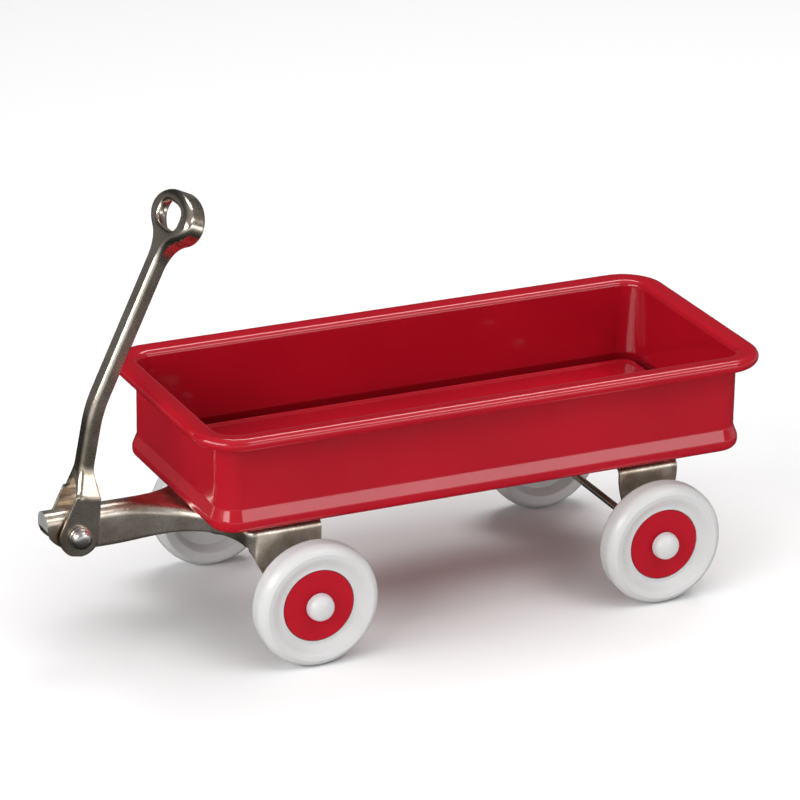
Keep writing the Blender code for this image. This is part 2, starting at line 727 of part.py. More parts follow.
def make_handle_pin(materials):
    """The domed rivet through the ears and the tongue, with a washer under each head."""
    centre = (0, PIN_Y, PIN_Z)
    hole = PIN_RADIUS + PART_GAP
    inner = EAR_HALF_WIDTH + PART_GAP
    outer = inner + 1.0
    for side in (-1, 1):
        label = "left" if side < 0 else "right"
        outline = [(hole, inner), (6.0, inner), (6.0, outer), (hole, outer)]
        profile = [(r, side * x) for r, x in outline]
        turned(f"handle_washer_{label}", profile, materials["steel"], "X", centre)
    head = 5.5
    start = outer + PART_GAP
    half = [(PIN_RADIUS, start), (head, start), (head, start + 1.2), (0.85 * head, start + 2.9)]
    half += [(0.5 * head, start + 3.9), (0.0, start + 4.3)]
    outline = half + [(r, -x) for r, x in reversed(half)]
    turned("handle_pin", outline, materials["steel"], "X", centre)


def build():
    clear_scene()
    materials = {
        "red": make_material("red_enamel", RED, 0.12, 0.0),
        "white": make_material("white_plastic", WHITE, 0.3, 0.0),
        "nickel": make_material("nickel_plate", NICKEL, 0.28, 1.0),
        "steel": make_material("bright_steel", STEEL, 0.22, 1.0),
        "nylon": make_material("black_nylon", NYLON, 0.5, 0.0),
    }
    make_tray(materials["red"])
    make_rear_bracket(materials["nickel"])
    saddle = PANEL_TOP_Z - TRAY_SHEET - PART_GAP - SHEET - PART_GAP
    for side in (-1, 1):
        label = "left" if side < 0 else "right"
        place = (side * REAR_RIVET_X, REAR_AXLE_Y)
        name = f"rear_rivet_{label}"
        make_rivet(name, materials["steel"], place, RIVET_RADIUS, 4.2, saddle, PANEL_TOP_Z + PART_GAP)
    make_turntable(materials)
    make_tongue_bolster(materials["nickel"])
    make_handle(materials["nickel"])
    make_handle_pin(materials)
    for end, centre_y in (("front", FRONT_AXLE_Y), ("rear", REAR_AXLE_Y)):
        make_axle(end, centre_y, materials["nickel"])
        for side in (-1, 1):
            label = "left" if side < 0 else "right"
            make_wheel(end, label, side, centre_y, materials)
            make_axle_end(end, label, side, centre_y, materials)
    shift = -(NOSE_Y + TRAY_LENGTH / 2) / 2 * MM
    for item in bpy.data.objects:
        item.location.y += shift


build()
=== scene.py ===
"""The looks of a toy-sized pressed-steel pull wagon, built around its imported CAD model.

Shapes are made in millimetres in the wagon's own frame: x across, y from the middle of
the tray towards the tail, z up from the ground. place() turns them into the row frame.
"""

import math

import bmesh
import bpy
from mathutils import Euler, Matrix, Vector


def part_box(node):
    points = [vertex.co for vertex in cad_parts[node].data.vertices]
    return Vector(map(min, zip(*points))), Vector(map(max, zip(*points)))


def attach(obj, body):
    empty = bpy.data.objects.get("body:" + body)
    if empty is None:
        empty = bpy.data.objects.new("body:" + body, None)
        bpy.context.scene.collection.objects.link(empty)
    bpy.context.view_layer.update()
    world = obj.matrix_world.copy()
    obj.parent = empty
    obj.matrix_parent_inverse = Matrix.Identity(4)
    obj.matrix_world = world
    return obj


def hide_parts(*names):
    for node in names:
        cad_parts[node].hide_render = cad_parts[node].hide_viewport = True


MM = 0.001

# Every piece: edges that turn more than this many degrees stay sharp, and the cut edges of
# sheet metal are rounded by this much.
SHARP_ANGLE = 35
EDGE_ROUND = 0.3

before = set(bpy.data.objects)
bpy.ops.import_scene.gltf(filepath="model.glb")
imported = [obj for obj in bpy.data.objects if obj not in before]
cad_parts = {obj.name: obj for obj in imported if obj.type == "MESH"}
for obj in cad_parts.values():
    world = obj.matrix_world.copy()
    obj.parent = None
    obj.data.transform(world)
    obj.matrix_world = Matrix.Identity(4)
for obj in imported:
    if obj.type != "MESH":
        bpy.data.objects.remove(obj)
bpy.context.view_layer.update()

# The tray's middle in the row frame. Every y below is measured from it.
tray_low, tray_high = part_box("tray")
MIDDLE_Y = (tray_low.y + tray_high.y) / 2

# Tray: outer size of the rolled rim, then the drawn body below it.
TRAY_LENGTH = 320.0
TRAY_WIDTH = 146.8
RIM_CORNER_RADIUS = 23.3
TRAY_SHEET = 0.9
ROLL_RADIUS = 3.5
ROLL_CENTRE_Z = 126.2
FLANGE_SLOPE = 6.0
WALL_INSET = 11.7
WALL_TOP_BEND = 3.0
WALL_LEVELS = (112.0, 104.0, 97.0)
BEAD_INSET = 9.3
BEAD_TOP_Z = 87.6
BEAD_FULL_Z = 81.2
BEAD_RADIUS = 4.3
TRAY_BOTTOM_Z = 75.0
PANEL_INSET = 16.4
PANEL_TOP_Z = 84.0
PANEL_BEND = 1.8
GROOVE_BEND = 1.2
RIB_HEIGHT = 0.9
RIB_SLOPE = 1.8
TRAY_CORNER_STEPS = 20

# Wheels and axles.
WHEEL_RADIUS = 33.4
WHEEL_WIDTH = 15.0
WHEEL_MID_X = 69.2
HUB_BACK = 12.9
DISC_SEAT = 2.7
FRONT_AXLE_Y = -100.0
REAR_AXLE_Y = 98.0
AXLE_RADIUS = 2.0
AXLE_HALF_LENGTH = 79.0
BORE_GAP = 0.35
PART_GAP = 0.3
THRUST_WASHER_RADIUS = 6.0
DISC_RADIUS = 19.2
DISC_FACE_X = 74.0
CAP_RADIUS = 7.3
CAP_HEIGHT = 7.0
WHEEL_SEGMENTS = 128
SMALL_SEGMENTS = 64

# Undercarriage.
SHEET = 1.5
LEG_X = 54.0
FOOT_RADIUS = 11.0
WEB_TOP_Z = 71.5
REAR_BRACKET_WIDTH = 34.0
REAR_SADDLE_X = 34.0
REAR_RIVET_X = 20.0
TURNTABLE_RADIUS = 28.0
TURNTABLE_RIVET_X = 23.5
SWIVEL_WASHER_RADIUS = 12.5
KINGPIN_RADIUS = 4.0
KINGPIN_HEAD_RADIUS = 7.5
KINGPIN_WASHER_RADIUS = 8.5
RIVET_RADIUS = 2.2
RIVET_HEAD_RADIUS = 4.2

# Tongue and bolster, one pressing.
TONGUE_HALF_WIDTH = 7.0
NOSE_Y = -220.5
FLARE_START_Y = -184.0
BOLSTER_FRONT_Y = -130.5
BOLSTER_REAR_Y = -90.0
BOLSTER_CORNER = 5.5
CROWN_TOP_Z = 75.7
CROWN_RADIUS = 5.6
BOLSTER_BEND = 4.0
SKIRT_NOSE_Z = 67.4
SKIRT_PIN_Z = 55.2
SKIRT_FLARE_Z = 61.5
CROWN_STEPS = 9
SKIRT_LEVELS = 7
WEB_COLUMNS = 14

# Handle: it turns on a pin through the tongue.
PIN_Y = -204.3
PIN_Z = 63.3
PIN_RADIUS = 2.3
HANDLE_BEND_Y = -192.2
HANDLE_BEND_Z = 128.0
HANDLE_LOOP_Y = -147.4
HANDLE_LOOP_Z = 224.3
HANDLE_SHEET = 1.3
SHAFT_HALF_WIDTH = 5.25
SHAFT_FRONT = 4.0
SHAFT_BACK = 3.3
SHAFT_BEND = 2.6
SHAFT_REACH = 9.0
EAR_HALF_WIDTH = 10.0
EAR_RADIUS = 10.7
EAR_TOP = 22.8
EAR_ROUND_END = 3.0
EAR_FRONT_TOP = 4.9
EAR_BACK_TOP = 7.9
ARCH_RISE = 6.2
FLARE_TOP = 37.0
NECK_START = 146.0
NECK_DIP = 3.6
LOOP_HALF_WIDTH = 22.5
LOOP_HALF_HEIGHT = 13.0
LOOP_DEPTH = 10.0
LOOP_BEND = 3.2
LOOP_JOIN = -50
LOOP_STEPS = 32
HOLE_HALF_WIDTH = 12.3
HOLE_HALF_HEIGHT = 6.6
HOLE_FLANGE = 3.4
HOLE_LIP = 1.6
HOLE_POWER = 2.8

# Camera: degrees, and millimetres for the distance and the lens.
CAMERA_AZIMUTH = 64.16
CAMERA_ELEVATION = 22.66
CAMERA_ROLL = 1.09
CAMERA_DISTANCE = 2323.6
CAMERA_LENS = 198.3
CAMERA_SHIFT_X = -0.0446
CAMERA_SHIFT_Y = 0.0948
CAMERA_TARGET_Z = 60


def place(x, y, z):
    """A point in the wagon's millimetres, in the row frame's metres."""
    return Vector((x * MM, MIDDLE_Y + y * MM, z * MM))


def blend(start, end, share):
    return start + (end - start) * share


def smooth_step(value):
    value = min(max(value, 0.0), 1.0)
    return value * value * (3 - 2 * value)


def spread(start, end, steps):
    """Even steps from start to end, both kept."""
    return [blend(start, end, i / steps) for i in range(steps + 1)]


def arc(centre, radius, start, end, steps):
    """Points on an arc in a plane, with angles in degrees."""
    points = []
    for degrees in spread(start, end, steps):
        angle = math.radians(degrees)
        points.append((centre[0] + radius * math.cos(angle), centre[1] + radius * math.sin(angle)))
    return points


def finish_piece(name, mesh_data, material, body, nodes):
    """Makes a bmesh in metres into a piece that rides on a body and stands for CAD nodes."""
    bmesh.ops.recalc_face_normals(mesh_data, faces=mesh_data.faces)
    mesh = bpy.data.meshes.new(name)
    mesh_data.to_mesh(mesh)
    mesh_data.free()
    mesh.shade_smooth()
    mesh.set_sharp_from_angle(angle=math.radians(SHARP_ANGLE))
    piece = bpy.data.objects.new(name, mesh)
    bpy.context.scene.collection.objects.link(piece)
    piece.data.materials.append(material)
    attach(piece, body)
    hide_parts(*nodes)
    return piece


def add_thickness(piece, thickness):
    """Gives an open sheet its thickness, inwards from the modelled face, and rounds its cut edges."""
    solid = piece.modifiers.new("thickness", "SOLIDIFY")
    solid.thickness = thickness * MM
    solid.offset = -1.0
    solid.use_even_offset = True
    bevel = piece.modifiers.new("edges", "BEVEL")
    bevel.width = EDGE_ROUND * MM
    bevel.segments = 2
    bevel.limit_method = "ANGLE"
    bevel.angle_limit = math.radians(50)
    bevel.use_clamp_overlap = True


def turned(name, profile, material, axis, centre, body, nodes, segments=SMALL_SEGMENTS):
    """A solid of revolution from a closed outline of (radius, distance along the axis)."""
    mesh_data = bmesh.new()
    rings = []
    for radius, along in profile:
        ring = []
        count = segments if radius > 1e-6 else 1
        for i in range(count):
            angle = 2 * math.pi * i / segments
            across = (radius * math.cos(angle), radius * math.sin(angle))
            if axis == "X":
                point = (along, across[0], across[1])
            else:
                point = (across[0], across[1], along)
            ring.append(mesh_data.verts.new(place(*(Vector(point) + Vector(centre)))))
        rings.append(ring)
    for first, second in zip(rings, rings[1:] + rings[:1]):
        for i in range(segments):
            j = (i + 1) % segments
            corners = [first[i % len(first)], first[j % len(first)]]
            corners += [second[j % len(second)], second[i % len(second)]]
            corners = list(dict.fromkeys(corners))
            if len(corners) > 2:
                mesh_data.faces.new(corners)
    return finish_piece(name, mesh_data, material, body, nodes)


def washer_outline(hole, radius, low, high):
    """Closed outline of a flat washer whose outer corners are softened."""
    return [
        (hole, low), (radius - 0.2, low), (radius, low + 0.2),
        (radius, high - 0.2), (radius - 0.2, high), (hole, high),
    ]


def grid_faces(mesh_data, rows):
    """Fills between rows that all have the same number of vertices."""
    for first, second in zip(rows, rows[1:]):
        for i in range(len(first) - 1):
            mesh_data.faces.new((first[i], first[i + 1], second[i + 1], second[i]))


# Materials.


class Nodes:
    """Short ways to add and link shader nodes in one material."""

    def __init__(self, name):
        self.material = bpy.data.materials.new(name)
        self.material.use_nodes = True
        self.tree = self.material.node_tree
        self.shader = self.tree.nodes["Principled BSDF"]
        self.object_space = self.tree.nodes.new("ShaderNodeTexCoord").outputs["Object"]

    def link(self, output, target):
        self.tree.links.new(output, target)

    def set(self, **values):
        for name, value in values.items():
            self.shader.inputs[name.replace("_", " ")].default_value = value

    def noise(self, vector, scale, detail=4.0, roughness=0.5):
        noise = self.tree.nodes.new("ShaderNodeTexNoise")
        noise.inputs["Scale"].default_value = scale
        noise.inputs["Detail"].default_value = detail
        noise.inputs["Roughness"].default_value = roughness
        self.link(vector, noise.inputs["Vector"])
        return noise.outputs["Fac"]

    def spread(self, value, low, high, from_low=0.3, from_high=0.7):
        """The value stretched so that from_low..from_high becomes low..high."""
        stretch = self.tree.nodes.new("ShaderNodeMapRange")
        stretch.inputs["From Min"].default_value = from_low
        stretch.inputs["From Max"].default_value = from_high
        stretch.inputs["To Min"].default_value = low
        stretch.inputs["To Max"].default_value = high
        self.link(value, stretch.inputs["Value"])
        return stretch.outputs["Result"]

    def ramp(self, value, stops):
        ramp = self.tree.nodes.new("ShaderNodeValToRGB")
        elements = ramp.color_ramp.elements
        while len(elements) < len(stops):
            elements.new(0.5)
        for element, (position, colour) in zip(elements, stops):
            element.position = position
            element.color = (*colour, 1.0)
        self.link(value, ramp.inputs["Fac"])
        return ramp.outputs["Color"]

    def bump(self, heights):
        """Adds one bump for each (height, strength, distance in millimetres)."""
        normal = None
        for height, strength, distance in heights:
            bump = self.tree.nodes.new("ShaderNodeBump")
            bump.inputs["Strength"].default_value = strength
            bump.inputs["Distance"].default_value = distance * MM
            self.link(height, bump.inputs["Height"])
            if normal:
                self.link(normal, bump.inputs["Normal"])
            normal = bump.outputs["Normal"]
        self.link(normal, self.shader.inputs["Normal"])


def red_enamel(name, light, dark, roughness, specular, coat, peel):
    """Stoved enamel on steel: a deep red under a clear glossy skin with a faint orange peel."""
    nodes = Nodes(name)
    cloud = nodes.noise(nodes.object_space, 14.0, 3.0)
    nodes.link(nodes.ramp(cloud, ((0.3, dark), (0.7, light))), nodes.shader.inputs["Base Color"])
    haze = nodes.noise(nodes.object_space, 60.0, 5.0)
    nodes.link(nodes.spread(haze, roughness, roughness + 0.06), nodes.shader.inputs["Roughness"])
    ripple = nodes.noise(nodes.object_space, 420.0, 2.0)
    swell = nodes.noise(nodes.object_space, 30.0, 1.0)
    nodes.bump(((ripple, peel, 0.05), (swell, 0.12, 0.6)))
    nodes.set(Coat_Weight=coat, Coat_Roughness=0.04, Specular_IOR_Level=specular)
    return nodes.material


def plated_steel(name, light, dark, roughness, grain_scale):
    """Nickel-plated pressing: a fine satin grain, faint pits and slightly warm dull patches."""
    nodes = Nodes(name)
    patch = nodes.noise(nodes.object_space, 45.0, 6.0, 0.6)
    nodes.link(nodes.ramp(patch, ((0.32, dark), (0.62, light))), nodes.shader.inputs["Base Color"])
    grain = nodes.noise(nodes.object_space, grain_scale, 3.0, 0.6)
    wave = nodes.noise(nodes.object_space, 260.0, 2.0, 0.5)
    nodes.link(nodes.spread(grain, roughness - 0.05, roughness + 0.1), nodes.shader.inputs["Roughness"])
    nodes.bump(((grain, 0.35, 0.05), (wave, 0.08, 0.1)))
    nodes.set(Metallic=1.0)
    return nodes.material


def bright_plate(name, light, dark, roughness):
    """Rivets and washers: brighter than the pressings, with small handling marks."""
    nodes = Nodes(name)
    patch = nodes.noise(nodes.object_space, 160.0, 4.0, 0.6)
    nodes.link(nodes.ramp(patch, ((0.3, dark), (0.65, light))), nodes.shader.inputs["Base Color"])
    marks = nodes.noise(nodes.object_space, 700.0, 3.0, 0.7)
    nodes.link(nodes.spread(marks, roughness, roughness + 0.12), nodes.shader.inputs["Roughness"])
    nodes.bump(((marks, 0.15, 0.04),))
    nodes.set(Metallic=1.0)
    return nodes.material


def white_moulding(name, light, dark, roughness):
    """Glossy white moulded plastic with faint flow clouds and a fine moulded skin."""
    nodes = Nodes(name)
    flow = nodes.noise(nodes.object_space, 22.0, 4.0, 0.55)
    nodes.link(nodes.ramp(flow, ((0.3, dark), (0.7, light))), nodes.shader.inputs["Base Color"])
    skin = nodes.noise(nodes.object_space, 650.0, 3.0, 0.6)
    wave = nodes.noise(nodes.object_space, 70.0, 2.0)
    nodes.link(nodes.spread(skin, roughness - 0.04, roughness + 0.08), nodes.shader.inputs["Roughness"])
    nodes.bump(((skin, 0.06, 0.03), (wave, 0.08, 0.2)))
    nodes.set(Coat_Weight=0.15, Coat_Roughness=0.08)
    return nodes.material


def dark_nylon(name):
    nodes = Nodes(name)
    cloud = nodes.noise(nodes.object_space, 120.0, 4.0)
    stops = ((0.3, (0.012, 0.012, 0.012)), (0.7, (0.03, 0.03, 0.03)))
    nodes.link(nodes.ramp(cloud, stops), nodes.shader.inputs["Base Color"])
    skin = nodes.noise(nodes.object_space, 900.0, 3.0)
    nodes.link(nodes.spread(skin, 0.42, 0.6), nodes.shader.inputs["Roughness"])
    nodes.bump(((skin, 0.2, 0.03),))
    return nodes.material


# Tray.


def rounded_rectangle(inset):
    """Plan points of the tray at one distance in from the outside of the rim."""
    half_x = TRAY_WIDTH / 2 - inset
    half_y = TRAY_LENGTH / 2 - inset
    radius = max(RIM_CORNER_RADIUS - inset, 2.0)
    points = []
    for quarter, (side_x, side_y) in enumerate(((1, 1), (-1, 1), (-1, -1), (1, -1))):
        centre = (side_x * (half_x - radius), side_y * (half_y - radius))
        points += arc(centre, radius, 90 * quarter, 90 * quarter + 90, TRAY_CORNER_STEPS)
    return points


def tray_section():
    """Middle line of the sheet as (inset, z), from the end of the rolled rim to the floor panel."""
    middle = ROLL_RADIUS - TRAY_SHEET / 2
    slope = math.radians(FLANGE_SLOPE)
    line = arc((ROLL_RADIUS, ROLL_CENTRE_Z), middle, 20, FLANGE_SLOPE - 270, 40)
    wall = WALL_INSET + TRAY_SHEET / 2
    start = line[-1]
    bend_centre_inset = wall - WALL_TOP_BEND
    bend_start_inset = bend_centre_inset + WALL_TOP_BEND * math.sin(slope)
    drop = (bend_start_inset - start[0]) * math.tan(slope)
    bend_centre_z = start[1] - drop - WALL_TOP_BEND * math.cos(slope)
    line += arc((bend_centre_inset, bend_centre_z), WALL_TOP_BEND, 90 - FLANGE_SLOPE, 0, 12)
    for z in WALL_LEVELS:
        line.append((wall, z))
    bead = BEAD_INSET + TRAY_SHEET / 2
    for share in spread(0.0, 1.0, 16):
        outwards = min(max((share - 0.1) / 0.8, 0.0), 1.0)
        line.append((blend(wall, bead, outwards), blend(BEAD_TOP_Z + 0.7, BEAD_FULL_Z - 0.7, share)))
    foot = BEAD_RADIUS - TRAY_SHEET / 2
    line += arc((bead + foot, TRAY_BOTTOM_Z + BEAD_RADIUS), foot, 180, 270, 12)
    rise = PANEL_INSET - PANEL_BEND
    foot_z = TRAY_BOTTOM_Z + TRAY_SHEET / 2
    line += arc((rise - GROOVE_BEND, foot_z + GROOVE_BEND), GROOVE_BEND, -90, 0, 5)
    panel_z = PANEL_TOP_Z - TRAY_SHEET / 2
    crest_z = panel_z + RIB_HEIGHT
    crest = rise + PANEL_BEND
    line += arc((crest, crest_z - PANEL_BEND), PANEL_BEND, 180, 90, 8)
    for share in spread(0.0, 1.0, 10):
        inset = crest + 0.3 + (RIB_SLOPE + 1.0) * share
        line.append((inset, blend(crest_z, panel_z, smooth_step(share))))
    return line


def offset_line(line, distance):
    """The line moved sideways by a distance, to the left of its direction."""
    moved = []
    for i, point in enumerate(line):
        before = Vector(line[max(i - 1, 0)])
        after = Vector(line[min(i + 1, len(line) - 1)])
        here = Vector(point)
        into = here - before if i else after - here
        out = after - here if i < len(line) - 1 else into
        into.normalize()
        out.normalize()
        along = (into + out).normalized()
        shrink = max(along.dot(into), 0.5)
        moved.append(here + Vector((-along.y, along.x)) * distance / shrink)
    return moved


def make_tray(material):
    """One drawn sheet: rolled rim, wall, bottom bead, groove, and a floor panel with a low rib round it."""
    section = tray_section()
    mesh_data = bmesh.new()
    edges = []
    for skin in (offset_line(section, TRAY_SHEET / 2), offset_line(section, -TRAY_SHEET / 2)):
        rings = []
        for inset, z in skin:
            rings.append([mesh_data.verts.new(place(x, y, z)) for x, y in rounded_rectangle(inset)])
        edges.append(rings[0])
        for upper, lower in zip(rings, rings[1:]):
            for i, corner in enumerate(upper):
                j = (i + 1) % len(upper)
                mesh_data.faces.new((corner, upper[j], lower[j], lower[i]))
        mesh_data.faces.new(rings[-1])
    first, second = edges
    for i, corner in enumerate(first):
        j = (i + 1) % len(first)
        mesh_data.faces.new((corner, first[j], second[j], second[i]))
    return finish_piece("tray_shell", mesh_data, material, "chassis", ["tray"])


# Wheels.


def wheel_profile():
    """Closed outline as (radius, distance from the middle plane), outwards positive."""
    half = WHEEL_WIDTH / 2
    bore = AXLE_RADIUS + BORE_GAP
    outline = [(bore, -HUB_BACK), (6.2, -HUB_BACK), (6.5, 0.3 - HUB_BACK)]
    outline += [(7.2, -2.4), (8.0, -1.5), (9.5, -1.2)]
    outline += [(21.0, -1.2), (22.4, -1.6), (23.2, -2.6), (25.0, -6.9), (25.6, -7.35)]
    outline += arc((26.9, -2.0), 6.5, -60, 0, 14)
    outline += arc((26.9, 2.0), 6.5, 0, 70, 16)
    outline += [(28.2, half + 0.38), (27.2, half + 0.3), (26.2, 7.35), (25.2, 6.8), (24.2, 6.1)]
    outline += [(23.2, 5.4), (22.2, 4.8), (21.2, 4.5), (20.4, 4.6), (19.9, 4.75)]
    seat = DISC_RADIUS + PART_GAP
    outline += [(seat, 4.5), (seat, DISC_SEAT), (bore, DISC_SEAT)]
    return outline


def make_wheel(end, label, side, centre_y, materials):
    """The moulded wheel and the red disc that turn together, at one end of an axle."""
    body = f"{end}_{label}_wheel"
    centre = (0, centre_y, WHEEL_RADIUS)
    profile = [(r, side * (WHEEL_MID_X + x)) for r, x in wheel_profile()]
    turned(
        f"{body}_moulding", profile, materials["white"], "X", centre, body,
        [body], WHEEL_SEGMENTS,
    )
    bore = AXLE_RADIUS + BORE_GAP
    back = WHEEL_MID_X + DISC_SEAT + PART_GAP
    face = DISC_FACE_X
    outline = [(bore, back), (DISC_RADIUS, back)]
    outline += arc((DISC_RADIUS - 0.6, face - 0.6), 0.6, 0, 90, 6)
    outline += [(17.4, face - 0.12), (15.0, face - 0.42), (12.0, face - 0.55), (9.0, face - 0.45)]
    outline += [(CAP_RADIUS, face - 0.3), (bore, face - 0.3)]
    profile = [(r, side * x) for r, x in outline]
    turned(
        f"{body}_disc_face", profile, materials["disc"], "X", centre, body,
        [f"{end}_{label}_hub_disc"], WHEEL_SEGMENTS,
    )


def make_axle_end(end, label, side, centre_y, materials):
    """The thrust washer inside the wheel and the push cap that holds it on the axle."""
    body = "steering" if end == "front" else "chassis"
    centre = (0, centre_y, WHEEL_RADIUS)
    bore = AXLE_RADIUS + BORE_GAP
    inner = LEG_X + PART_GAP
    outer = WHEEL_MID_X - HUB_BACK - PART_GAP
    outline = washer_outline(bore, THRUST_WASHER_RADIUS, inner, outer)
    profile = [(r, side * x) for r, x in outline]
    turned(
        f"{end}_{label}_washer_ring", profile, materials["steel"], "X", centre, body,
        [f"{end}_{label}_thrust_washer"],
    )
    base = DISC_FACE_X + PART_GAP
    top = base + CAP_HEIGHT
    bore_end = AXLE_HALF_LENGTH + PART_GAP
    outline = [(bore, base), (CAP_RADIUS - 0.3, base), (CAP_RADIUS, base + 0.3)]
    outline += [(CAP_RADIUS, base + 1.6), (CAP_RADIUS - 0.15, base + 1.9)]
    for step in range(1, 16):
        angle = math.radians(6 * step)
        across = (CAP_RADIUS - 0.15) * math.cos(angle) ** 0.8
        outline.append((across, base + 1.9 + (top - base - 1.9) * math.sin(angle)))
    outline[-1] = (0.0, top)
    outline += [(0.0, bore_end), (bore, bore_end)]
    profile = [(r, side * x) for r, x in outline]
    turned(
        f"{end}_{label}_cap_dome", profile, materials["white"], "X", centre, body,
        [f"{end}_{label}_push_cap"],
    )


def make_axle(end, centre_y, material):
    """A plain rod with chamfered ends."""
    body = "steering" if end == "front" else "chassis"
    half = AXLE_HALF_LENGTH
    outline = [(0.0, -half), (AXLE_RADIUS - 0.3, -half), (AXLE_RADIUS, -half + 0.3)]
    outline += [(r, -x) for r, x in reversed(outline)]
    centre = (0, centre_y, WHEEL_RADIUS)
    turned(f"{end}_axle_rod", outline, material, "X", centre, body, [f"{end}_axle"])


# Rivets and the turntable.


def make_rivet(name, material, centre, shank, head, bottom_z, top_z, node):
    """A rivet along Z with a domed head at each end; the z values are where the heads start."""
    outline = [(0.0, bottom_z - 0.45 * head), (0.5 * head, bottom_z - 0.4 * head)]
    outline += [(0.8 * head, bottom_z - 0.26 * head), (0.96 * head, bottom_z - 0.1 * head)]
    outline += [(head, bottom_z), (shank, bottom_z), (shank, top_z)]
    for step in range(9):
        angle = math.radians(90 * step / 8)
        outline.append((head * math.cos(angle), top_z + 0.52 * head * math.sin(angle)))
    outline[-1] = (0.0, top_z + 0.52 * head)
    turned(name, outline, material, "Z", (*centre, 0), "chassis", [node])


def make_turntable(materials):
    """The dished plate under the floor, the wear washer below it, and the kingpin through all."""
    top = PANEL_TOP_Z - TRAY_SHEET - PART_GAP
    bottom = WEB_TOP_Z + 2.0
    hole = KINGPIN_RADIUS + PART_GAP
    outline = [(TURNTABLE_RADIUS, top - 0.3), (TURNTABLE_RADIUS - 0.3, top)]
    outline += [(18.6, top), (17.3, top - 0.5), (14.2, bottom + 1.7), (13.2, bottom + 1.2)]
    outline += [(hole, bottom + 1.2), (hole, bottom)]
    outline += [(13.8, bottom), (14.8, bottom + 0.4), (18.0, top - 1.8), (19.2, top - 1.2)]
    outline += [(TURNTABLE_RADIUS - 0.3, top - 1.2), (TURNTABLE_RADIUS, top - 0.9)]
    centre = (0, FRONT_AXLE_Y, 0)
    turned(
        "turntable_dish", outline, materials["nickel"], "Z", centre, "chassis",
        ["turntable_plate"], WHEEL_SEGMENTS,
    )
    for side in (-1, 1):
        label = "left" if side < 0 else "right"
        low = top - 1.2 - PART_GAP
        high = PANEL_TOP_Z + PART_GAP
        make_rivet(
            f"turntable_rivet_{label}_head", materials["dull"],
            (side * TURNTABLE_RIVET_X, FRONT_AXLE_Y), RIVET_RADIUS, RIVET_HEAD_RADIUS,
            low, high, f"turntable_rivet_{label}",
        )
    low = WEB_TOP_Z + PART_GAP
    high = bottom - PART_GAP
    outline = washer_outline(hole, SWIVEL_WASHER_RADIUS, low, high)
    turned(
        "swivel_ring", outline, materials["nylon"], "Z", centre, "steering",
        ["swivel_washer"],
    )
    high = WEB_TOP_Z - SHEET - PART_GAP
    low = high - 1.0
    outline = washer_outline(hole, KINGPIN_WASHER_RADIUS, low, high)
    turned(
        "kingpin_ring", outline, materials["steel"], "Z", centre, "steering",
        ["kingpin_washer"],
    )
    make_rivet(
        "kingpin_head", materials["dull"], (0, FRONT_AXLE_Y), KINGPIN_RADIUS, KINGPIN_HEAD_RADIUS,
        low - PART_GAP, PANEL_TOP_Z + PART_GAP, "kingpin",
    )


def make_rear_bracket(material):
    """A bent strap: two legs with rounded feet, shoulders, and a raised saddle under the floor."""
    heights = [WHEEL_RADIUS - FOOT_RADIUS * math.cos(math.radians(a)) for a in spread(2.0, 90.0, 12)]
    line = [(LEG_X, z) for z in heights + spread(WHEEL_RADIUS + 2, WEB_TOP_Z - 4.5, 14)]
    line += arc((LEG_X - 4, WEB_TOP_Z - 4), 4, 0, 90, 10)
    saddle_z = PANEL_TOP_Z - TRAY_SHEET - PART_GAP
    for share in spread(0.0, 1.0, 12):
        x = blend(REAR_SADDLE_X + 12, REAR_SADDLE_X - 1, share)
        line.append((x, blend(WEB_TOP_Z, saddle_z, smooth_step(share))))
    line += [(-x, z) for x, z in reversed(line)]
    mesh_data = bmesh.new()
    rows = []
    for x, z in line:
        share = smooth_step((z - WHEEL_RADIUS) / (WEB_TOP_Z - 6 - WHEEL_RADIUS))
        half = blend(FOOT_RADIUS, REAR_BRACKET_WIDTH / 2, share)
        if z < WHEEL_RADIUS:
            half = math.sqrt(FOOT_RADIUS**2 - (WHEEL_RADIUS - z) ** 2)
        row = [mesh_data.verts.new(place(x, REAR_AXLE_Y + half * a, z)) for a in spread(-1.0, 1.0, 8)]
        rows.append(row)
    grid_faces(mesh_data, rows)
    bracket = finish_piece(
        "rear_bracket_strap", mesh_data, material, "chassis", ["rear_bracket"]
    )
    add_thickness(bracket, SHEET)


# Tongue and bolster.


def tongue_path():
    """Right-hand outline of the pressing in plan, from the nose back to the rear edge."""
    path = [(TONGUE_HALF_WIDTH, y) for y in spread(NOSE_Y, FLARE_START_Y - 1.2, 28)]
    wide = LEG_X - BOLSTER_CORNER
    sweep_x = wide - TONGUE_HALF_WIDTH
    sweep_y = BOLSTER_FRONT_Y - FLARE_START_Y
    for degrees in spread(0.0, 90.0, 44):
        angle = math.radians(degrees)
        path.append((wide - sweep_x * math.cos(angle), FLARE_START_Y + sweep_y * math.sin(angle)))
    corner = (wide, BOLSTER_FRONT_Y + BOLSTER_CORNER)
    path += arc(corner, BOLSTER_CORNER, -82, 0, 10)
    path += [(LEG_X, y) for y in spread(BOLSTER_FRONT_Y + BOLSTER_CORNER + 1, BOLSTER_REAR_Y, 26)]
    return path


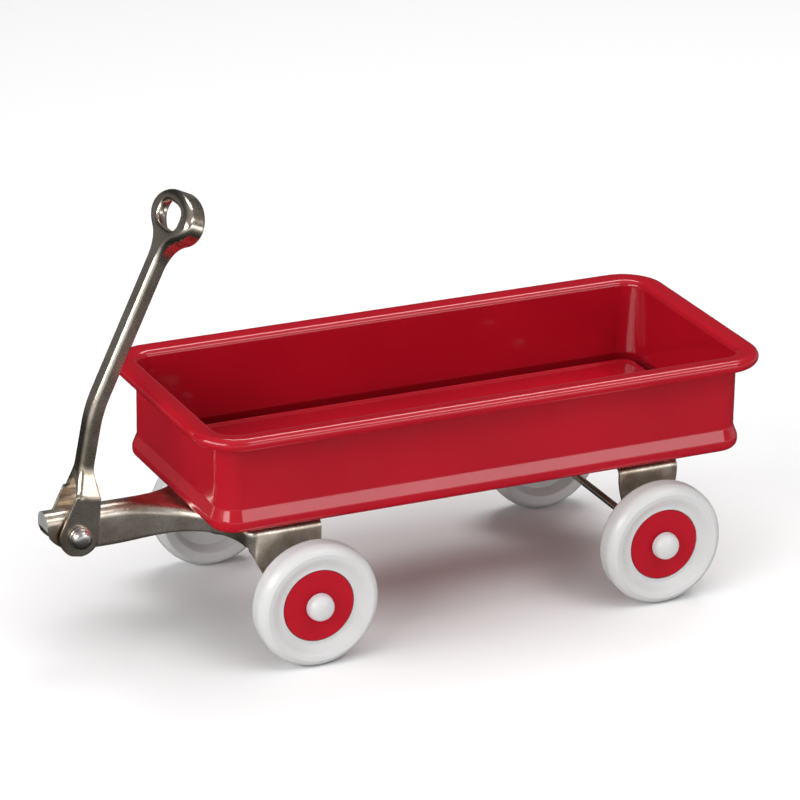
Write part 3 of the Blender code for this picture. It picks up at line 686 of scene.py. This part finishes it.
def skirt_bottom(x, y):
    """Height of the turned-down edge: deep round the pin, shallow on the flare, long at the legs."""
    if y < PIN_Y:
        share = math.sqrt(min(max((y - NOSE_Y) / (PIN_Y - 4 - NOSE_Y), 0.0), 1.0))
        return blend(SKIRT_NOSE_Z, SKIRT_PIN_Z, share)
    if x < LEG_X - 2:
        return blend(SKIRT_PIN_Z, SKIRT_FLARE_Z, smooth_step((y + 185) / 50))
    slant = 62.0 - (y - BOLSTER_FRONT_Y) * 1.83
    foot = WHEEL_RADIUS - math.sqrt(max(FOOT_RADIUS**2 - (y - FRONT_AXLE_Y) ** 2, 0.0))
    return max(slant, min(foot, 28.0))


def make_tongue_bolster(material, lit_end_material):
    """The crowned tongue flares into a flat bolster with a leg down to the axle on each side."""
    path = tongue_path()
    mesh_data = bmesh.new()
    rows = []
    for i, (x, y) in enumerate(path):
        before = Vector(path[max(i - 1, 0)])
        after = Vector(path[min(i + 1, len(path) - 1)])
        along = (after - before).normalized()
        inward = Vector((-along.y, along.x))
        share = smooth_step((y - FLARE_START_Y) / (BOLSTER_FRONT_Y - 4 - FLARE_START_Y))
        bend = blend(CROWN_RADIUS, BOLSTER_BEND, share)
        top = blend(CROWN_TOP_Z, WEB_TOP_Z, share)
        column = [(x, y, z) for z in spread(skirt_bottom(x, y), top - bend, SKIRT_LEVELS)]
        for degrees in spread(0.0, 90.0, CROWN_STEPS)[1:]:
            angle = math.radians(degrees)
            back = bend * (1 - math.cos(angle))
            z = top - bend + bend * math.sin(angle)
            column.append((x + inward.x * back, y + inward.y * back, z))
        x, y, z = column[-1]
        web = [(blend(-x, x, k / WEB_COLUMNS), y, z) for k in range(1, WEB_COLUMNS)]
        line = [(-point[0], point[1], point[2]) for point in column] + web + column[::-1]
        rows.append([mesh_data.verts.new(place(*point)) for point in line])
    grid_faces(mesh_data, rows)
    nose = rows[0]
    levels = SKIRT_LEVELS + CROWN_STEPS
    for level in range(levels):
        mesh_data.faces.new((nose[level], nose[level + 1], nose[-level - 2], nose[-level - 1]))
    mesh_data.faces.new(nose[levels:-levels])
    pressing = finish_piece(
        "tongue_bolster_pressing", mesh_data, material, "steering", ["tongue_bolster"]
    )
    # The nose end face gets the pale plate, a painted highlight for the front light on it.
    pressing.data.materials.append(lit_end_material)
    for polygon in pressing.data.polygons:
        if polygon.normal.y < -0.9 and polygon.center.y < place(0, NOSE_Y + 0.5, 0).y:
            polygon.material_index = 1
    add_thickness(pressing, SHEET)


# Handle.


def handle_point(x, along, depth):
    """A point from its place across, up and through the handle, whose shaft bends once."""
    pin = Vector((0, PIN_Y, PIN_Z))
    bend = Vector((0, HANDLE_BEND_Y, HANDLE_BEND_Z))
    loop = Vector((0, HANDLE_LOOP_Y, HANDLE_LOOP_Z))
    lower = (bend - pin).normalized()
    upper = (loop - bend).normalized()
    length = (bend - pin).length
    share = min(max((along - length + SHAFT_REACH) / (2 * SHAFT_REACH), 0.0), 1.0)
    if share <= 0:
        point = pin + lower * along
        up = lower
    elif share >= 1:
        point = bend + upper * (along - length)
        up = upper
    else:
        start = bend - lower * SHAFT_REACH
        end = bend + upper * SHAFT_REACH
        point = start * (1 - share) ** 2 + bend * (2 * share * (1 - share)) + end * share**2
        up = (lower * (1 - share) + upper * share).normalized()
    point = point + Vector((0, up.z, -up.y)) * depth
    return place(x, point.y, point.z)


def loop_centre_along():
    """How far up the handle the middle of its ring lies."""
    pin = Vector((PIN_Y, PIN_Z))
    bend = Vector((HANDLE_BEND_Y, HANDLE_BEND_Z))
    loop = Vector((HANDLE_LOOP_Y, HANDLE_LOOP_Z))
    return (bend - pin).length + (loop - bend).length


def ear_edges(along):
    """Front and back edge of an ear, as distances from the handle's middle line."""
    if along < EAR_ROUND_END:
        half = math.sqrt(max(EAR_RADIUS**2 - along**2, 0.0))
        return -half, half
    share = min((along - EAR_ROUND_END) / (EAR_TOP - EAR_ROUND_END), 1.0)
    start = math.sqrt(EAR_RADIUS**2 - EAR_ROUND_END**2)
    return blend(-start, -EAR_FRONT_TOP, share), blend(start, EAR_BACK_TOP, share)


def make_handle_columns():
    """Right-hand side of the handle as (outline x, along, front, back, bend, inward) rows."""
    ears = []
    turns = [-EAR_RADIUS * math.cos(math.radians(a)) for a in spread(14.0, 90.0, 14)]
    for along in turns + [1.5] + spread(EAR_ROUND_END, EAR_TOP - 1.5, 10):
        front, back = ear_edges(along)
        ears.append((EAR_HALF_WIDTH, along, front, back, 0.0, (-1.0, 0.0)))
    shaft = []
    for along in spread(EAR_TOP, 72.0, 40):
        share = smooth_step((along - EAR_TOP + 4) / (FLARE_TOP - EAR_TOP + 4))
        half = blend(EAR_HALF_WIDTH, SHAFT_HALF_WIDTH, share)
        front = blend(-EAR_FRONT_TOP, -SHAFT_FRONT, share)
        back = blend(EAR_BACK_TOP, SHAFT_BACK, share)
        shaft.append((half, along, front, back, SHAFT_BEND, (-1.0, 0.0)))
    for along in spread(73.5, NECK_START, 24):
        shaft.append((SHAFT_HALF_WIDTH, along, -SHAFT_FRONT, SHAFT_BACK, SHAFT_BEND, (-1.0, 0.0)))
    centre = loop_centre_along()
    join = math.radians(LOOP_JOIN)
    end = Vector((LOOP_HALF_WIDTH * math.cos(join), centre + LOOP_HALF_HEIGHT * math.sin(join)))
    leave = Vector((-LOOP_HALF_WIDTH * math.sin(join), LOOP_HALF_HEIGHT * math.cos(join))).normalized()
    start = Vector((SHAFT_HALF_WIDTH, NECK_START))
    first = start + Vector((0, 8.0))
    second = end - leave * 8.0
    line = []
    for t in spread(0.0, 1.0, 14)[1:-1]:
        point = start * (1 - t) ** 3 + first * (3 * t * (1 - t) ** 2)
        line.append((point + second * (3 * t**2 * (1 - t)) + end * t**3, t))
    for angle in spread(join, math.pi / 2, LOOP_STEPS):
        point = Vector((LOOP_HALF_WIDTH * math.cos(angle), centre + LOOP_HALF_HEIGHT * math.sin(angle)))
        line.append((point, 1.0))
    mirrored = Vector((-line[-2][0].x, line[-2][0].y))
    path = [start] + [point for point, _ in line] + [mirrored]
    loop = []
    for i, (point, share) in enumerate(line):
        direction = (path[i + 2] - path[i]).normalized()
        back = blend(SHAFT_BACK, LOOP_DEPTH - SHAFT_FRONT, share)
        bend = blend(SHAFT_BEND, LOOP_BEND, share)
        loop.append((point.x, point.y, -SHAFT_FRONT, back, bend, (-direction.y, direction.x)))
    return ears, shaft, loop


def make_handle(material):
    """A channel pressing: two ears on the pin, a crowned shaft, and a ring with a finger hole."""
    ears, shaft, loop = make_handle_columns()
    columns = ears + shaft + loop
    first_web = len(ears)
    ring_count = LOOP_STEPS + 1
    first_ring = len(columns) - ring_count
    neck_rows = len(loop) - ring_count + 1
    bend_steps = 7
    levels = 6
    mesh_data = bmesh.new()
    vertex_of = {}

    def vertex(point):
        key = tuple(round(value, 4) + 0.0 for value in point)
        if key not in vertex_of:
            vertex_of[key] = mesh_data.verts.new(handle_point(*point))
        return vertex_of[key]

    def face(points):
        corners = list(dict.fromkeys(vertex(point) for point in points))
        if len(corners) > 2 and not mesh_data.faces.get(corners):
            mesh_data.faces.new(corners)

    sides = {}
    for side in (1, -1):
        made = []
        for x, along, front, back, bend, inward in columns:
            if bend == 0.0:
                made.append([(side * x, along, d) for d in spread(back, front, levels + bend_steps)])
                continue
            column = [(side * x, along, d) for d in spread(back, front + bend, levels)]
            for degrees in spread(0.0, 90.0, bend_steps)[1:]:
                angle = math.radians(degrees)
                move = bend * (1 - math.cos(angle))
                across = side * (x + inward[0] * move)
                column.append((across, along + inward[1] * move, front + bend - bend * math.sin(angle)))
            made.append(column)
        for near, far in zip(made, made[1:]):
            for i in range(len(near) - 1):
                face((near[i], near[i + 1], far[i + 1], far[i]))
        sides[side] = made
    across = 12
    web_rows = []
    for index in range(first_web, first_ring + 1):
        right = sides[1][index][-1]
        arch = ARCH_RISE * (1 - min((index - first_web) / 8, 1.0))
        dip = NECK_DIP * max(1 - (first_ring - index) / neck_rows, 0.0)
        row = []
        for k in range(across + 1):
            bow = 1 - (2 * k / across - 1) ** 2
            row.append((blend(-right[0], right[0], k / across), right[1] + (arch - dip) * bow, right[2]))
        web_rows.append(row)
    for near, far in zip(web_rows, web_rows[1:]):
        for k in range(across):
            face((near[k], near[k + 1], far[k + 1], far[k]))
    centre = loop_centre_along()
    ring_outer = web_rows[-1][:-1]
    ring_outer += [column[-1] for column in sides[1][first_ring:]]
    ring_outer += [column[-1] for column in sides[-1][first_ring + 1 : -1][::-1]]
    rings = [ring_outer]
    turns = spread(0.0, math.pi / 2, 7)
    lip = [(HOLE_LIP * (1 - math.sin(a)), HOLE_LIP * (1 - math.cos(a))) for a in turns]
    for grow, depth in lip + [(0.0, d) for d in spread(HOLE_LIP, HOLE_FLANGE, 4)[1:]]:
        ring = []
        for point in ring_outer:
            angle = math.atan2((point[1] - centre) / LOOP_HALF_HEIGHT, point[0] / LOOP_HALF_WIDTH)
            cosine, sine = math.cos(angle), math.sin(angle)
            x = (HOLE_HALF_WIDTH + grow) * math.copysign(abs(cosine) ** (2 / HOLE_POWER), cosine)
            up = (HOLE_HALF_HEIGHT + grow) * math.copysign(abs(sine) ** (2 / HOLE_POWER), sine)
            ring.append((x, centre + up, depth - SHAFT_FRONT))
        rings.append(ring)
    for outer, inner in zip(rings, rings[1:]):
        for i, point in enumerate(outer):
            j = (i + 1) % len(outer)
            face((point, outer[j], inner[j], inner[i]))
    handle = finish_piece("handle_pressing", mesh_data, material, "handle", ["handle"])
    add_thickness(handle, HANDLE_SHEET)


def make_handle_pin(materials):
    """The domed rivet through the ears and the tongue, with a washer under each head."""
    centre = (0, PIN_Y, PIN_Z)
    hole = PIN_RADIUS + PART_GAP
    inner = EAR_HALF_WIDTH + PART_GAP
    outer = inner + 1.0
    for side in (-1, 1):
        label = "left" if side < 0 else "right"
        outline = [(hole, inner), (6.0, inner), (6.0, outer - 0.3), (5.7, outer), (hole, outer)]
        profile = [(r, side * x) for r, x in outline]
        turned(
            f"handle_collar_{label}", profile, materials["steel"], "X", centre, "handle",
            [f"handle_washer_{label}"],
        )
    head = 5.5
    start = outer + PART_GAP
    half = [(PIN_RADIUS, start), (head - 0.2, start), (head, start + 0.2), (head, start + 1.0)]
    for step in range(1, 11):
        angle = math.radians(9 * step)
        half.append((head * math.cos(angle) ** 0.7, start + 1.0 + 3.3 * math.sin(angle)))
    half[-1] = (0.0, start + 4.3)
    outline = half + [(r, -x) for r, x in reversed(half)]
    turned(
        "handle_pin_rivet", outline, materials["steel"], "X", centre, "handle",
        ["handle_pin"],
    )


def build_wagon():
    """Makes the materials, then every piece of the wagon."""
    materials = {
        "red": red_enamel(
            "red_enamel_gloss", (0.43, 0.006, 0.017), (0.37, 0.005, 0.014), 0.14, 0.25, 0.55, 0.06,
        ),
        "disc": red_enamel(
            "red_enamel_disc", (0.45, 0.006, 0.018), (0.40, 0.005, 0.015), 0.34, 0.1, 0.0, 0.05,
        ),
        "nickel": plated_steel("nickel_satin", (0.78, 0.71, 0.61), (0.50, 0.42, 0.32), 0.2, 2200.0),
        "grained": plated_steel("nickel_grained", (0.88, 0.81, 0.71), (0.46, 0.37, 0.27), 0.3, 1500.0),
        "steel": bright_plate("bright_plate", (0.72, 0.71, 0.69), (0.58, 0.56, 0.53), 0.2),
        "white": white_moulding("white_moulding", (0.63, 0.63, 0.627), (0.59, 0.59, 0.587), 0.3),
        "dull": bright_plate("dull_plate", (0.40, 0.39, 0.37), (0.28, 0.27, 0.25), 0.5),
        # Pale plate for the tongue's nose end: a painted highlight standing for the front light falling on
        # that face.
        "cut": bright_plate("painted_lit_end_plate", (0.92, 0.92, 0.91), (0.80, 0.80, 0.79), 0.6),
        "nylon": dark_nylon("dark_nylon"),
    }
    make_tray(materials["red"])
    make_rear_bracket(materials["grained"])
    saddle = PANEL_TOP_Z - TRAY_SHEET - PART_GAP - SHEET - PART_GAP
    for side in (-1, 1):
        label = "left" if side < 0 else "right"
        make_rivet(
            f"rear_rivet_{label}_head", materials["dull"], (side * REAR_RIVET_X, REAR_AXLE_Y),
            RIVET_RADIUS, RIVET_HEAD_RADIUS, saddle, PANEL_TOP_Z + PART_GAP, f"rear_rivet_{label}",
        )
    make_turntable(materials)
    make_tongue_bolster(materials["grained"], materials["cut"])
    make_handle(materials["nickel"])
    make_handle_pin(materials)
    for end, centre_y in (("front", FRONT_AXLE_Y), ("rear", REAR_AXLE_Y)):
        make_axle(end, centre_y, materials["nickel"])
        for side in (-1, 1):
            label = "left" if side < 0 else "right"
            make_wheel(end, label, side, centre_y, materials)
            make_axle_end(end, label, side, centre_y, materials)


# Stage: floor, light and camera.


def make_floor():
    mesh_data = bmesh.new()
    bmesh.ops.create_circle(mesh_data, cap_ends=True, segments=96, radius=14.0)
    mesh = bpy.data.meshes.new("floor")
    mesh_data.to_mesh(mesh)
    mesh_data.free()
    floor = bpy.data.objects.new("floor", mesh)
    bpy.context.scene.collection.objects.link(floor)
    material = bpy.data.materials.new("floor_paper")
    material.use_nodes = True
    shader = material.node_tree.nodes["Principled BSDF"]
    shader.inputs["Base Color"].default_value = (0.9, 0.9, 0.9, 1.0)
    shader.inputs["Roughness"].default_value = 0.9
    shader.inputs["Specular IOR Level"].default_value = 0.0
    floor.data.materials.append(material)
    floor.visible_glossy = False


def make_world():
    """A studio seen in reflections: pale at the horizon, dark above and below, brighter on the right."""
    world = bpy.data.worlds.new("studio")
    bpy.context.scene.world = world
    world.use_nodes = True
    tree = world.node_tree
    background = tree.nodes["Background"]
    coordinates = tree.nodes.new("ShaderNodeTexCoord")
    split = tree.nodes.new("ShaderNodeSeparateXYZ")
    stretch = tree.nodes.new("ShaderNodeMapRange")
    stretch.inputs["From Min"].default_value = -1.0
    stretch.inputs["From Max"].default_value = 1.0
    ramp = tree.nodes.new("ShaderNodeValToRGB")
    stops = (
        (0.0, 0.02), (0.22, 0.03), (0.40, 0.09), (0.48, 0.50), (0.53, 0.55),
        (0.58, 0.12), (0.80, 0.14), (0.95, 0.30),
    )
    elements = ramp.color_ramp.elements
    while len(elements) < len(stops):
        elements.new(0.5)
    for element, (position, grey) in zip(elements, stops):
        element.position = position
        element.color = (grey, grey, grey, 1.0)
    tree.links.new(coordinates.outputs["Generated"], split.inputs["Vector"])
    tree.links.new(split.outputs["Z"], stretch.inputs["Value"])
    tree.links.new(stretch.outputs["Result"], ramp.inputs["Fac"])
    tree.links.new(ramp.outputs["Color"], background.inputs["Color"])
    sideways = tree.nodes.new("ShaderNodeMapRange")
    sideways.inputs["From Min"].default_value = -1.0
    sideways.inputs["From Max"].default_value = 1.0
    sideways.inputs["To Min"].default_value = 0.2
    sideways.inputs["To Max"].default_value = 1.9
    tree.links.new(split.outputs["X"], sideways.inputs["Value"])
    tree.links.new(sideways.outputs["Result"], background.inputs["Strength"])


def add_light(name, location, target, size, power):
    """A soft rectangular studio light, aimed at a point, all in metres."""
    data = bpy.data.lights.new(name, "AREA")
    data.shape = "RECTANGLE"
    data.size, data.size_y = size
    data.energy = power
    light = bpy.data.objects.new(name, data)
    bpy.context.scene.collection.objects.link(light)
    light.location = location
    aim = Vector(target) - Vector(location)
    light.rotation_euler = aim.to_track_quat("-Z", "Y").to_euler()
    return light


def make_lights():
    middle = (0, 0, 0.08)
    overhead = add_light("overhead", (0.3, 0.5, 3.2), middle, (3.6, 3.0), 56.0)
    overhead.visible_glossy = False
    add_light("front_key", (0.55, -1.75, 0.95), middle, (2.1, 0.75), 32.0)
    add_light("right_low_softbox", (1.94, 0.88, 0.6), middle, (1.0, 0.42), 4.2)
    add_light("right_high_strip", (1.23, 0.88, 1.66), middle, (1.2, 0.4), 9.0)
    add_light("back_softbox", (-0.9, 0.75, 1.85), middle, (1.2, 0.5), 13.0)


def make_camera():
    """The view looks down on the wagon's front right corner, through a long lens."""
    azimuth = math.radians(CAMERA_AZIMUTH)
    elevation = math.radians(CAMERA_ELEVATION)
    back = Vector((
        math.sin(azimuth) * math.cos(elevation),
        -math.cos(azimuth) * math.cos(elevation),
        math.sin(elevation),
    ))
    data = bpy.data.cameras.new("camera")
    data.sensor_width = 36.0
    data.lens = CAMERA_LENS
    data.shift_x = CAMERA_SHIFT_X
    data.shift_y = CAMERA_SHIFT_Y
    data.clip_start = 0.05
    data.clip_end = 60.0
    camera = bpy.data.objects.new("camera", data)
    bpy.context.scene.collection.objects.link(camera)
    target = place(0, 0, CAMERA_TARGET_Z)
    camera.location = target + back * CAMERA_DISTANCE * MM
    look = (-back).to_track_quat("-Z", "Y")
    roll = Euler((0, 0, math.radians(CAMERA_ROLL))).to_quaternion()
    camera.rotation_mode = "QUATERNION"
    camera.rotation_quaternion = look @ roll
    bpy.context.scene.camera = camera


build_wagon()
make_floor()
make_world()
make_lights()
make_camera()
bpy.context.scene.view_settings.view_transform = "Standard"
